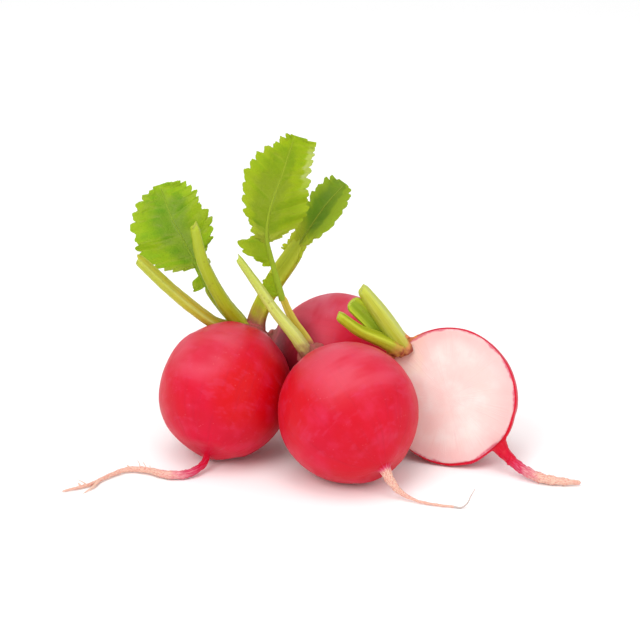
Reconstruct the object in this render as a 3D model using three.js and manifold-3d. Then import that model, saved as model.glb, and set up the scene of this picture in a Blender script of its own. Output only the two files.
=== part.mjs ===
// A bunch of four globe radishes lying on a table, in millimetres, with +Z up.
//
// Three radishes are whole and one is cut in half lengthwise. Each is one swollen root: a globe that
// narrows to a curved tail at one end and carries a low knobbly crown at the other. Leaf stalks grow out
// of the crowns. Most are trimmed short, and three keep their leaf, which has a toothed blade and, on
// two of them, small lobes lower down the rib.
//
// Every place is measured from the point on the table below the middle of the front radish's globe,
// with +X to the right of someone looking at the cut face and +Y away from them. The last lines then
// move the bunch, so that the part's origin is the middle of its box, on the table.
import * as THREE from "three";
import { mergeVertices } from "three/addons/utils/BufferGeometryUtils.js";
import Module from "manifold-3d";

const wasm = await Module();
wasm.setup();

// Driving dimensions
const GAP = 0.3; // between pieces that touch
const RESTING_SINK = 0.3; // planed off the bottom of each globe, for the flat spot that it rests on
const CROWN_HEIGHT = 1.3;
const BLADE_THICKNESS = 0.62;
const RIB_HALF_WIDTH = 0.7;
const RIB_THICKNESS = 1.6; // where the rib enters the blade; it thins towards the tip
const ROOT_SIDES = 20;
const GLOBE_RINGS = 12;
const TAIL_RINGS = 13;
const STALK_SIDES = 8;
const STALK_STEPS = 9;
const STEPS_PER_TOOTH = 3;

// Each root: where its globe stands, which ways its crown and its tail point, the globe's radius
// across and its length from the middle to each end, how much wider it is towards the crown (egg), the
// crown's radius, how far the tail's foot flares, and the tail, as the points that it passes and its
// radii from globe to tip.
const ROOTS = {
  front: {
    x: 0.4,
    y: 0.6,
    crown: [-0.489, 0.673, 0.555],
    tailWay: [0.489, -0.673, -0.555],
    radius: 16.95,
    crownHalf: 17.7,
    tailHalf: 16.5,
    egg: 0.03,
    crownRadius: 3.3,
    flare: 0.4,
    tail: [
      [9.9, -12.0, 4.7],
      [12.1, -12.8, 2.1],
      [16.0, -15.1, 0.75],
      [20.4, -16.8, 0.45],
      [25.0, -18.0, 0.4],
    ],
    tailRadii: [1.35, 1.05, 0.7, 0.35, 0.3, 0.28, 0.25],
  },
  left: {
    x: -29.9,
    y: 15.9,
    crown: [0.4, 0.66, 0.636],
    tailWay: [-0.26, -0.6, -0.757],
    radius: 16.3,
    crownHalf: 17.1,
    tailHalf: 17.1,
    egg: 0.0,
    crownRadius: 4.8,
    flare: 0.4,
    tail: [
      [-35.2, 3.2, 2.2],
      [-38.9, -0.5, 1.3],
      [-43.5, -0.8, 1.2],
      [-48.8, 2.2, 1.1],
      [-53.6, 3.1, 0.9],
      [-57.9, -0.5, 0.75],
      [-62.0, -5.4, 0.65],
      [-68.4, -9.0, 0.4],
    ],
    tailRadii: [1.2, 1.15, 1.15, 1.05, 0.8, 0.6, 0.55, 0.5, 0.25],
  },
  back: {
    x: -2.2,
    y: 35.9,
    crown: [-0.95, 0.269, 0.16],
    tailWay: [0.95, -0.269, -0.16],
    radius: 17.2,
    crownHalf: 17.3,
    tailHalf: 17.3,
    egg: 0.02,
    crownRadius: 3.0,
    flare: 0.8,
    tail: [
      [17.4, 30.8, 11.2],
      [19.6, 31.8, 6.6],
      [23.4, 34.2, 2.6],
      [28.6, 36.6, 1.0],
      [34.0, 36.0, 0.6],
    ],
    tailRadii: [1.5, 1.3, 1.0, 0.8, 0.6, 0.45, 0.3],
  },
  half: {
    x: 24.9,
    y: 12.0,
    crown: [-0.699, 0.426, 0.575],
    tailWay: [0.699, -0.426, -0.575],
    radius: 16.7,
    crownHalf: 16.9,
    tailHalf: 16.9,
    egg: 0.02,
    crownRadius: 3.3,
    flare: 1.5,
    tail: [
      [38.2, 3.6, 5.0],
      [41.4, 0.6, 2.8],
      [46.2, -3.2, 1.5],
      [51.0, -4.7, 1.2],
      [56.0, -5.1, 0.95],
    ],
    tailRadii: [1.55, 1.35, 1.2, 1.15, 1.0, 0.8],
  },
};
const FLARE_LENGTH = 1.6; // over which the tail's foot narrows
const HALF_FACE = [-0.29, -0.902, 0.319]; // the way the cut face looks

// Each stalk: the points along its middle, from the crown up, its half widths from there to its end,
// and the way that its grooved upper side looks. slant is how far the trimmed end slopes.
const STALKS = {
  left_stalk_thin: {
    root: "left",
    path: [
      [-26.6, 28.6, 27.4],
      [-29.7, 28.2, 28.8],
      [-32.8, 25.8, 30.8],
      [-41.2, 22.8, 38.7],
      [-51.0, 19.6, 49.6],
    ],
    halfWidths: [1.7, 1.65, 1.65, 1.6, 1.4],
    faces: [0.5, -0.3, 0.8],
    slant: 0.9,
  },
  left_stalk_thick: {
    root: "left",
    path: [
      [-25.0, 27.4, 28.0],
      [-27.2, 27.2, 31.3],
      [-30.8, 25.6, 36.8],
      [-35.2, 23.6, 47.1],
      [-37.1, 21.8, 57.5],
    ],
    halfWidths: [2.5, 2.1, 1.8, 1.85, 1.85, 1.6],
    faces: [0.9, 0.2, 0.35],
    slant: 0.9,
  },
  left_leaf_stalk: {
    root: "left",
    path: [
      [-25.6, 29.6, 27.0],
      [-29.2, 30.2, 30.7],
      [-32.0, 30.2, 34.0],
      [-34.0, 30.0, 37.0],
    ],
    halfWidths: [1.5, 1.2, 1.0],
    faces: [0.3, -0.9, 0.4],
    slant: 0,
  },
  right_leaf_stalk: {
    root: "left",
    path: [
      [-22.7, 26.7, 27.8],
      [-22.3, 27.4, 31.2],
      [-18.3, 28.5, 39.6],
      [-12.9, 29.0, 47.4],
      [-10.3, 29.0, 51.9],
    ],
    halfWidths: [2.8, 2.35, 2.2, 2.25, 2.3],
    faces: [-0.5, -0.8, 0.35],
    slant: 0,
  },
  front_stalk: {
    root: "front",
    path: [
      [-9.4, 10.8, 26.6],
      [-12.8, 11.9, 32.8],
      [-17.1, 13.0, 38.1],
      [-21.5, 13.8, 44.6],
      [-26.4, 14.0, 51.8],
    ],
    halfWidths: [2.2, 2.0, 1.75, 1.5, 1.0],
    faces: [0.75, 0, 0.6],
    slant: 1.3,
  },
  middle_leaf_stalk: {
    root: "front",
    path: [
      [-8.4, 13.0, 26.8],
      [-9.9, 14.6, 30.3],
      [-13.0, 15.8, 35.0],
      [-15.5, 17.0, 39.6],
    ],
    halfWidths: [1.1, 0.9, 0.8],
    faces: [0, -0.9, 0.4],
    slant: 0,
  },
  back_stalk_upper: {
    root: "back",
    path: [
      [-17.4, 40.6, 20.0],
      [-20.6, 42.2, 20.8],
      [-23.4, 44.4, 22.6],
    ],
    halfWidths: [1.5, 1.35],
    faces: [0.3, -0.2, 0.9],
    slant: 0.4,
  },
  back_stalk_lower: {
    root: "back",
    path: [
      [-17.4, 40.2, 17.4],
      [-21.0, 41.2, 16.6],
      [-24.6, 43.0, 16.8],
    ],
    halfWidths: [1.2, 1.1],
    faces: [0.1, -0.4, 0.9],
    slant: 0.3,
  },
  half_stalk_upper: {
    root: "half",
    path: [
      [14.2, 19.4, 26.2],
      [11.6, 19.2, 30.8],
      [7.9, 18.6, 36.7],
      [3.2, 18.0, 43.2],
    ],
    halfWidths: [2.3, 2.2, 2.0, 1.5],
    faces: [0.75, 0, 0.6],
    slant: 0.5,
  },
  half_stalk_middle: {
    root: "half",
    path: [
      [13.2, 17.2, 26.4],
      [9.8, 16.2, 30.2],
      [5.4, 15.4, 35.3],
      [1.0, 14.9, 39.9],
    ],
    halfWidths: [1.7, 1.85, 1.8],
    faces: [-0.1, -0.9, 0.4],
    slant: 0,
  },
  half_stalk_lower: {
    root: "half",
    path: [
      [12.4, 15.0, 26.3],
      [8.4, 13.4, 29.5],
      [3.0, 12.6, 32.9],
      [-1.9, 12.2, 37.2],
    ],
    halfWidths: [1.7, 1.75, 1.6],
    faces: [0.6, 0, 0.8],
    slant: 0.3,
  },
};
const STALK_FLATNESS = 0.9; // a stalk's thickness over its width
const GROOVE = 0.35; // depth of the groove along a stalk's upper side, over its half width

// Each leaf: the points along its rib, from the stalk's end to the tip, the way its face looks, and its
// parts from the foot up. A part lies between two places on the rib, as shares of its length. left and
// right are how far its sides stand out, at even steps of an arc from the part's foot to its head, and
// lean is how far its middle reaches towards the tip.
const LEAVES = {
  left_leaf: {
    rib: [
      [-34.4, 29.8, 37.4],
      [-37.3, 29.5, 44.4],
      [-40.6, 29.2, 51.5],
      [-43.4, 28.7, 57.6],
      [-46.0, 28.8, 65.6],
    ],
    faces: [0.05, -0.93, 0.3],
    parts: [
      { from: 0.04, to: 0.14, left: [0, 3.4, 3.9, 2.2, 0], right: [0, 0], lean: -0.9, teeth: 2 },
      { from: 0.17, to: 0.24, left: [0, 0], right: [0, 3.0, 3.7, 2.0, 0], lean: 1.9, teeth: 2 },
      {
        from: 0.25,
        to: 1.0,
        left: [0.5, 3.1, 7.4, 10.2, 11.2, 11.1, 7.2, 3.0, 0.5],
        right: [0.5, 1.6, 4.4, 7.9, 8.7, 8.0, 7.0, 4.2, 0.5],
        lean: 0,
        teeth: 10,
      },
    ],
    toothDepth: 0.9,
    cup: 0.1,
    ripple: 0.5,
  },
  middle_leaf: {
    rib: [
      [-16.0, 17.1, 40.3],
      [-18.1, 18.0, 48.2],
      [-19.6, 18.0, 55.6],
      [-18.8, 17.6, 62.5],
      [-15.9, 17.7, 71.0],
      [-12.7, 19.2, 80.6],
    ],
    faces: [0.1, -0.94, 0.3],
    parts: [
      { from: 0.02, to: 0.15, left: [0, 2.6, 3.7, 2.2, 0], right: [0, 0], lean: 0.8, teeth: 3 },
      { from: 0.19, to: 0.34, left: [0, 3.2, 6.6, 5.2, 0], right: [0, 0], lean: 2.8, teeth: 2 },
      {
        from: 0.35,
        to: 1.0,
        left: [0.5, 2.4, 4.9, 6.8, 8.2, 7.7, 4.6, 2.0, 0.5],
        right: [1.2, 4.8, 7.6, 8.4, 8.1, 6.1, 6.0, 4.8, 0.5],
        lean: 0,
        teeth: 11,
      },
    ],
    toothDepth: 0.8,
    cup: -0.1,
    ripple: 0.45,
  },
  right_leaf: {
    rib: [
      [-10.4, 29.0, 52.3],
      [-8.4, 29.0, 55.7],
      [-5.5, 29.6, 60.2],
      [-0.5, 31.4, 65.2],
    ],
    faces: [-0.5, -0.75, 0.45],
    parts: [
      {
        from: 0.03,
        to: 1.0,
        left: [0.8, 1.4, 2.6, 3.2, 3.7, 4.4, 3.4, 1.8, 0.5],
        right: [0.8, 2.2, 4.4, 5.4, 6.2, 5.6, 4.2, 2.4, 0.5],
        lean: 0,
        teeth: 8,
      },
    ],
    toothDepth: 0.6,
    cup: 0.5,
    ripple: 0.3,
  },
};

const vector = (a) => new THREE.Vector3(...a);
const mix = THREE.MathUtils.lerp;

// A value that wavers between -1 and 1 from one whole number to the next, the same every time.
const waver = (n) => Math.sin(n * 2.7 + Math.sin(n * 1.3) * 2);

// A number read off an evenly spaced list at a share of its length.
function along(list, share) {
  const place = THREE.MathUtils.clamp(share, 0, 1) * (list.length - 1);
  const i = Math.min(Math.floor(place), list.length - 2);
  return mix(list[i], list[i + 1], place - i);
}

// From geometry to solid and back

function solidOf(geometry) {
  const bare = new THREE.BufferGeometry();
  bare.setAttribute("position", geometry.getAttribute("position").clone());
  bare.setIndex(geometry.index);
  const merged = mergeVertices(bare, 1e-4);
  const corners = [];
  for (let i = 0; i < merged.index.count; i += 3) {
    const [a, b, c] = [0, 1, 2].map((k) => merged.index.getX(i + k));
    if (a !== b && b !== c && a !== c) corners.push(a, b, c);
  }
  return new wasm.Manifold(
    new wasm.Mesh({
      numProp: 3,
      vertProperties: merged.attributes.position.array,
      triVerts: new Uint32Array(corners),
    }),
  );
}

function geometryOf(solid) {
  const { numProp, vertProperties, triVerts } = solid.getMesh();
  const positions = [];
  for (let i = 0; i < vertProperties.length; i += numProp) {
    positions.push(...vertProperties.subarray(i, i + 3));
  }
  const geometry = new THREE.BufferGeometry();
  geometry.setAttribute("position", new THREE.Float32BufferAttribute(positions, 3));
  geometry.setIndex([...triVerts]);
  const flat = geometry.toNonIndexed();
  flat.computeVertexNormals();
  return flat;
}

const largestBody = (solid) =>
  solid.decompose().reduce((best, body) => (body.volume() > best.volume() ? body : best));

// Places along a smooth line through points, each with the line's direction, the way that the
// piece's upper side looks and the way across it.
function placesAlong(points, faces) {
  const curve = new THREE.CatmullRomCurve3(points.map(vector), false, "centripetal");
  const length = curve.getLength();
  const place = (share) => {
    const point = curve.getPointAt(THREE.MathUtils.clamp(share, 0, 1));
    const ahead = curve.getTangentAt(THREE.MathUtils.clamp(share, 0, 1));
    const across = new THREE.Vector3().crossVectors(ahead, vector(faces)).normalize();
    const up = new THREE.Vector3().crossVectors(across, ahead);
    return { point, ahead, across, up };
  };
  return { length, place };
}

// Roots

// The root's radius at a distance s from the globe's centre, towards the tail, on a tail of that length.
function rootRadius(root, s, tailLength) {
  const { radius, crownHalf, tailHalf, egg, crownRadius, flare, tailRadii } = root;
  const share = THREE.MathUtils.clamp(s / (s < 0 ? crownHalf : tailHalf), -1, 1);
  const globe = radius * Math.sqrt(1 - share * share) * (1 - egg * share);
  const past = s - tailHalf;
  const foot = flare * Math.exp(-Math.max(past + 1, 0) / FLARE_LENGTH);
  const tail = THREE.MathUtils.smoothstep(share, 0, 0.9) * (along(tailRadii, past / tailLength) + foot);
  const knob = 1 - ((-s - crownHalf + 0.5) / (CROWN_HEIGHT + 0.5)) ** 2;
  const crown = s < 0.5 - crownHalf ? crownRadius * Math.sqrt(Math.max(knob, 0)) : 0;
  return Math.max(Math.hypot(globe, tail), crown);
}

// The globe's centre, at the height where its underside dips just below the table.
function centreOf(root) {
  let depth = 0;
  for (let share = -0.9; share <= 0.9; share += 0.02) {
    const s = share * (share < 0 ? root.crownHalf : root.tailHalf);
    const tailwards = vector(share < 0 ? root.crown : root.tailWay).normalize();
    if (share < 0) tailwards.negate();
    const across = Math.hypot(tailwards.x, tailwards.y);
    depth = Math.max(depth, rootRadius(root, s, 1) * across - s * tailwards.z);
  }
  return new THREE.Vector3(root.x, root.y, depth - RESTING_SINK);
}

// The profile to turn, with the height measured from the top of the crown.
function rootProfile(root, tailLength, grow) {
  const { crownHalf, tailHalf } = root;
  const top = -crownHalf - CROWN_HEIGHT;
  const stations = [top + 0.1, top + 0.6, -crownHalf - 0.1];
  for (let i = 1; i <= GLOBE_RINGS; i++) {
    const share = -Math.cos(mix(0.27, Math.PI - 0.11, (i - 1) / (GLOBE_RINGS - 1)));
    stations.push(share * (share < 0 ? crownHalf : tailHalf));
  }
  for (let i = 0; i < TAIL_RINGS; i++) {
    stations.push(tailHalf + 0.5 + (tailLength - 0.7) * (i / (TAIL_RINGS - 1)) ** 1.15);
  }
  const rings = stations.map((s) => new THREE.Vector2(rootRadius(root, s, tailLength) + grow, s - top));
  const end = tailHalf + tailLength + grow - top;
  return [new THREE.Vector2(0, -grow), ...rings, new THREE.Vector2(0, end)];
}

// A root turned about a straight line, which is then bent to run from the crown through the globe's
// centre and along the tail. grow makes it bigger all over.
function rootGeometry(root, grow = 0) {
  const centre = centreOf(root);
  const towards = (way, distance) => centre.clone().addScaledVector(vector(way).normalize(), distance);
  const points = [
    towards(root.crown, root.crownHalf + CROWN_HEIGHT),
    towards(root.crown, root.crownHalf / 2),
    centre,
    towards(root.tailWay, root.tailHalf - 3),
    towards(root.tailWay, root.tailHalf),
    ...root.tail.map(vector),
  ];
  const curve = new THREE.CatmullRomCurve3(points, false, "centripetal");
  curve.arcLengthDivisions = 1000;
  const length = curve.getLength();
  const tailLength = length - root.tailHalf - root.crownHalf - CROWN_HEIGHT;
  const steps = 240;
  const frames = curve.computeFrenetFrames(steps);
  const geometry = new THREE.LatheGeometry(rootProfile(root, tailLength, grow), ROOT_SIDES);
  const positions = geometry.getAttribute("position");
  const vertex = new THREE.Vector3();
  for (let i = 0; i < positions.count; i++) {
    vertex.fromBufferAttribute(positions, i);
    const share = THREE.MathUtils.clamp(vertex.y / length, 0, 1);
    const frame = Math.round(share * steps);
    const middle = curve.getPointAt(share);
    middle.addScaledVector(frames.tangents[frame], vertex.y - share * length);
    middle.addScaledVector(frames.normals[frame], vertex.x);
    middle.addScaledVector(frames.binormals[frame], -vertex.z);
    positions.setXYZ(i, middle.x, middle.y, middle.z);
  }
  return geometry;
}

// A block whose lower face is a plane through a point, square to a direction.
function blockBeyond(point, direction) {
  const size = 200;
  const block = new THREE.BoxGeometry(size, size, size);
  block.translate(0, 0, size / 2);
  const turn = new THREE.Quaternion().setFromUnitVectors(new THREE.Vector3(0, 0, 1), direction);
  block.applyQuaternion(turn);
  block.translate(point.x, point.y, point.z);
  return solidOf(block);
}

function rootSolid(name) {
  const root = ROOTS[name];
  const table = blockBeyond(new THREE.Vector3(), new THREE.Vector3(0, 0, -1));
  let solid = solidOf(rootGeometry(root)).subtract(table);
  if (name === "half") solid = solid.subtract(cutAway(root));
  return largestBody(solid);
}

// What the knife takes off: the front half of the globe, but neither the crown nor the tail.
function cutAway(root) {
  const centre = centreOf(root);
  const globe = new THREE.SphereGeometry(root.crownHalf + 0.25, 40, 24);
  globe.translate(centre.x, centre.y, centre.z);
  return solidOf(globe).intersect(blockBeyond(centre, vector(HALF_FACE).normalize()));
}

// Stalks

function stalkGeometry({ path, halfWidths, faces, slant }, grow = 0) {
  const { place } = placesAlong(path, faces);
  const geometry = new THREE.CylinderGeometry(1, 1, 1, STALK_SIDES, STALK_STEPS);
  const positions = geometry.getAttribute("position");
  const vertex = new THREE.Vector3();
  for (let i = 0; i < positions.count; i++) {
    vertex.fromBufferAttribute(positions, i);
    const share = vertex.y + 0.5;
    const { point, ahead, across, up } = place(share);
    const half = along(halfWidths, share);
    const grooved = THREE.MathUtils.smoothstep(vertex.z, 0.72, 1) * GROOVE * half;
    point.addScaledVector(across, vertex.x * (half + grow));
    point.addScaledVector(up, vertex.z * (half * STALK_FLATNESS + grow) - grooved);
    if (share > 0.99) point.addScaledVector(ahead, slant * vertex.z + grow);
    positions.setXYZ(i, point.x, point.y, point.z);
  }
  return geometry;
}

// A stalk stands clear of its root and of the stalks that were placed on the same crown before it.
function stalkSolid(name, placed) {
  const stalk = STALKS[name];
  let solid = solidOf(stalkGeometry(stalk)).subtract(solidOf(rootGeometry(ROOTS[stalk.root], GAP)));
  for (const other of placed) {
    if (STALKS[other].root === stalk.root) {
      solid = solid.subtract(solidOf(stalkGeometry(STALKS[other], GAP)));
    }
  }
  return largestBody(solid);
}

// Leaves

// How far a blade's edge stands out at a share of the way along one side, from 0 in a notch to 1 at
// the point of a tooth. Every tooth has its own size.
function toothAt(share, teeth) {
  const place = share * teeth;
  const number = Math.min(Math.floor(place), teeth - 1);
  const within = place - number;
  const rise = within < 0.67 ? within / 0.67 : (1 - within) / 0.33;
  return rise * (0.72 + 0.28 * waver(number + teeth));
}

// The rows of a blade, from foot to tip: where each leaves the rib, and how far forward and out its
// two ends lie.
function bladeRows({ parts, toothDepth }, length) {
  const rows = [];
  for (const part of parts) {
    const [start, end] = [part.from * length, part.to * length];
    const steps = part.teeth * STEPS_PER_TOOTH;
    for (let i = 0; i <= steps; i++) {
      const share = i / steps;
      const round = Math.sin(Math.PI * share);
      const forward = (1 - Math.cos(Math.PI * share)) / 2;
      const tooth = (toothAt(share, part.teeth) - 0.45) * toothDepth * Math.min(1, round * 2.5);
      const reach = (widths) => {
        const width = along(widths, share);
        return Math.max(width + tooth * Math.min(1, width / 3), RIB_HALF_WIDTH + 0.1);
      };
      rows.push({
        rib: mix(start, end, forward ** 1.5),
        edge: mix(start, end, forward) + (part.lean + tooth * 0.5) * round,
        left: reach(part.left),
        right: reach(part.right),
      });
    }
  }
  return rows;
}

// A blade as two like-triangulated skins, half the thickness off a curved middle sheet, and a rim.
function leafGeometry(leaf) {
  const { length, place } = placesAlong(leaf.rib, leaf.faces);
  const rows = bladeRows(leaf, length);
  const columns = [-1, -0.5, -0.01, 0, 0.01, 0.5, 1];
  const skins = { top: [], bottom: [] };
  rows.forEach((row, r) => {
    const { point, ahead, across, up } = place(row.rib / length);
    const rest = 1 - row.rib / length;
    columns.forEach((column) => {
      const reach = column < 0 ? row.left : row.right;
      const out = Math.abs(column);
      const y = Math.sign(column) * mix(RIB_HALF_WIDTH * (0.35 + 0.65 * rest), reach, out);
      const wave = leaf.ripple * waver(r * 0.55 + (column < 0 ? 3 : 0)) * out * out * Math.min(1, reach / 4);
      const middle = point.clone();
      middle.addScaledVector(ahead, (row.edge - row.rib) * out);
      middle.addScaledVector(across, y);
      middle.addScaledVector(up, (leaf.cup * y * y) / 9 + wave);
      const thickness = column === 0 ? mix(BLADE_THICKNESS, RIB_THICKNESS, rest) : BLADE_THICKNESS;
      skins.top.push(middle.clone().addScaledVector(up, BLADE_THICKNESS / 2));
      skins.bottom.push(middle.addScaledVector(up, BLADE_THICKNESS / 2 - thickness));
    });
  });
  return skinsToGeometry(skins, rows.length, columns.length);
}

function skinsToGeometry({ top, bottom }, rows, columns) {
  const corners = [];
  const quad = (a, b, c, d) => corners.push(a, b, c, a, c, d);
  const under = top.length;
  for (let r = 0; r + 1 < rows; r++) {
    for (let c = 0; c + 1 < columns; c++) {
      const a = r * columns + c;
      quad(a, a + 1, a + columns + 1, a + columns);
      quad(under + a, under + a + columns, under + a + columns + 1, under + a + 1);
    }
  }
  const rim = [];
  for (let c = 0; c < columns; c++) rim.push(c);
  for (let r = 1; r < rows; r++) rim.push(r * columns + columns - 1);
  for (let c = columns - 2; c >= 0; c--) rim.push((rows - 1) * columns + c);
  for (let r = rows - 2; r > 0; r--) rim.push(r * columns);
  rim.forEach((a, i) => {
    const b = rim[(i + 1) % rim.length];
    quad(a, under + a, under + b, b);
  });
  const geometry = new THREE.BufferGeometry();
  const all = [...top, ...bottom].flatMap((p) => p.toArray());
  geometry.setAttribute("position", new THREE.Float32BufferAttribute(all, 3));
  geometry.setIndex(corners);
  return geometry;
}

// Materials

const skin = new THREE.MeshStandardMaterial({ color: 0xd3203f, roughness: 0.38, metalness: 0 });
const flesh = new THREE.MeshStandardMaterial({ color: 0xf6ddd6, roughness: 0.5, metalness: 0 });
const stalkGreen = new THREE.MeshStandardMaterial({ color: 0xb2bc34, roughness: 0.5, metalness: 0 });
const leafGreen = new THREE.MeshStandardMaterial({ color: 0x8db524, roughness: 0.6, metalness: 0 });

// The bunch

const bunch = new THREE.Group();

function add(name, geometry, material) {
  const mesh = new THREE.Mesh(geometry, material);
  mesh.name = name;
  bunch.add(mesh);
}

for (const name of Object.keys(ROOTS)) {
  add(`${name}_radish`, geometryOf(rootSolid(name)), name === "half" ? flesh : skin);
}
const placed = [];
for (const name of Object.keys(STALKS)) {
  add(name, geometryOf(stalkSolid(name, placed)), stalkGreen);
  placed.push(name);
}
for (const name of Object.keys(LEAVES)) {
  add(name, geometryOf(solidOf(leafGeometry(LEAVES[name]))), leafGreen);
}

const box = new THREE.Box3().setFromObject(bunch);
const middle = box.getCenter(new THREE.Vector3());
bunch.position.set(-middle.x, -middle.y, 0);

export default bunch;
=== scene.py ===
# A bunch of four globe radishes lying on a pale table, one of them cut in half lengthwise.
#
# Shapes are made in millimetres, measured from a point on the table under the front globe, with +X
# to the right of the camera and +Y away from it. Each piece is then moved by SHIFT and scaled to
# metres, so that it lies where its solid does.
from bisect import bisect
from math import atan2, cos, exp, floor, hypot, pi, radians, sin, sqrt

import bmesh
import bpy
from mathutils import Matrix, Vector, noise


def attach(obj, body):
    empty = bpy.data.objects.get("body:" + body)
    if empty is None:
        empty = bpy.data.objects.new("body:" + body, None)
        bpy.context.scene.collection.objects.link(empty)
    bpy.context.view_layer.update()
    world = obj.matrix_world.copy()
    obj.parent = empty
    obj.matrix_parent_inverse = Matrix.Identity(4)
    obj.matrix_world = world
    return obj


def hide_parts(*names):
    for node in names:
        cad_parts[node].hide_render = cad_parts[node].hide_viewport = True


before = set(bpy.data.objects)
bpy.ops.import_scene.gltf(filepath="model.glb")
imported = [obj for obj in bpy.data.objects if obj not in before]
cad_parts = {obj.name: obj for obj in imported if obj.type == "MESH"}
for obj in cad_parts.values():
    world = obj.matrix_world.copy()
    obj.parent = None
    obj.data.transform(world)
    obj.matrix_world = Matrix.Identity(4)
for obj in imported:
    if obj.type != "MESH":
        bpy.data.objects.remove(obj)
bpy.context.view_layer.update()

MM = 0.001
SHIFT = Vector((6.2, -17.494, 0))
RESTING_SINK = 0.3  # how far each globe is flattened where it rests
FLARE_LENGTH = 1.6
SKIN_DEPTH = 0.3  # of the red rim round the cut face
HALF_FACE = Vector((-0.29, -0.902, 0.319)).normalized()  # the way the cut face looks
CUT_MARGIN = 0.25  # how far past each end of its globe the half radish is cut
FLESH_PROUD = 0.07  # how far the cut flesh stands clear of the cut skin
STALK_FLATNESS = 0.9
GROOVE = 0.38  # how deep a stalk's groove is, as a share of its half width
TRIM_ROUNDING = 1.3  # the length over which a stalk narrows to its trimmed end
BLADE_THICKNESS = 0.36
RIB_FLATNESS = 0.62
SHARP_FROM = 50  # degrees between two faces, from where on their edge shows

# How finely the pieces are divided. The rings of a neck and of the cut face are shares of its size.
LINE_STEPS = 24
ROOT_SIDES = 88
NECK_RINGS = (0.006, 0.03, 0.07, 0.14, 0.23, 0.34, 0.46, 0.58, 0.7, 0.82, 0.93)
GLOBE_RINGS = 60
TAIL_RINGS = 84
FACE_RINGS = (0.994, 0.982, 0.965, 0.94, 0.91, 0.87, 0.82, 0.75, 0.66, 0.56, 0.45, 0.33, 0.2, 0.08)
STALK_SIDES, STALK_STEPS = 36, 54
RIB_SIDES, RIB_STEPS = 16, 70
HAIR_SIDES, HAIR_STEPS = 8, 24
STEPS_PER_TOOTH = 11
BLADE_COLUMNS = 44

CAMERA_PLACE = (-0.52, -533.25, 223.28)
CAMERA_DIP = 19.5  # degrees
LENS, SENSOR = 130, 36
ROOM_LIGHT = 0.82
LIT_SHARE = 0.86  # of a colour's full strength, which bright light makes up for
LIGHTS = (  # each lamp's place in metres, its size and its power
    ("window_left", (-0.42, -0.66, 0.7), 0.55, 3.7),
    ("lamp_above", (-0.05, -0.2, 0.95), 0.5, 2.1),
    ("lamp_right", (0.6, -0.75, 0.45), 0.6, 1.6),
)

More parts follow.
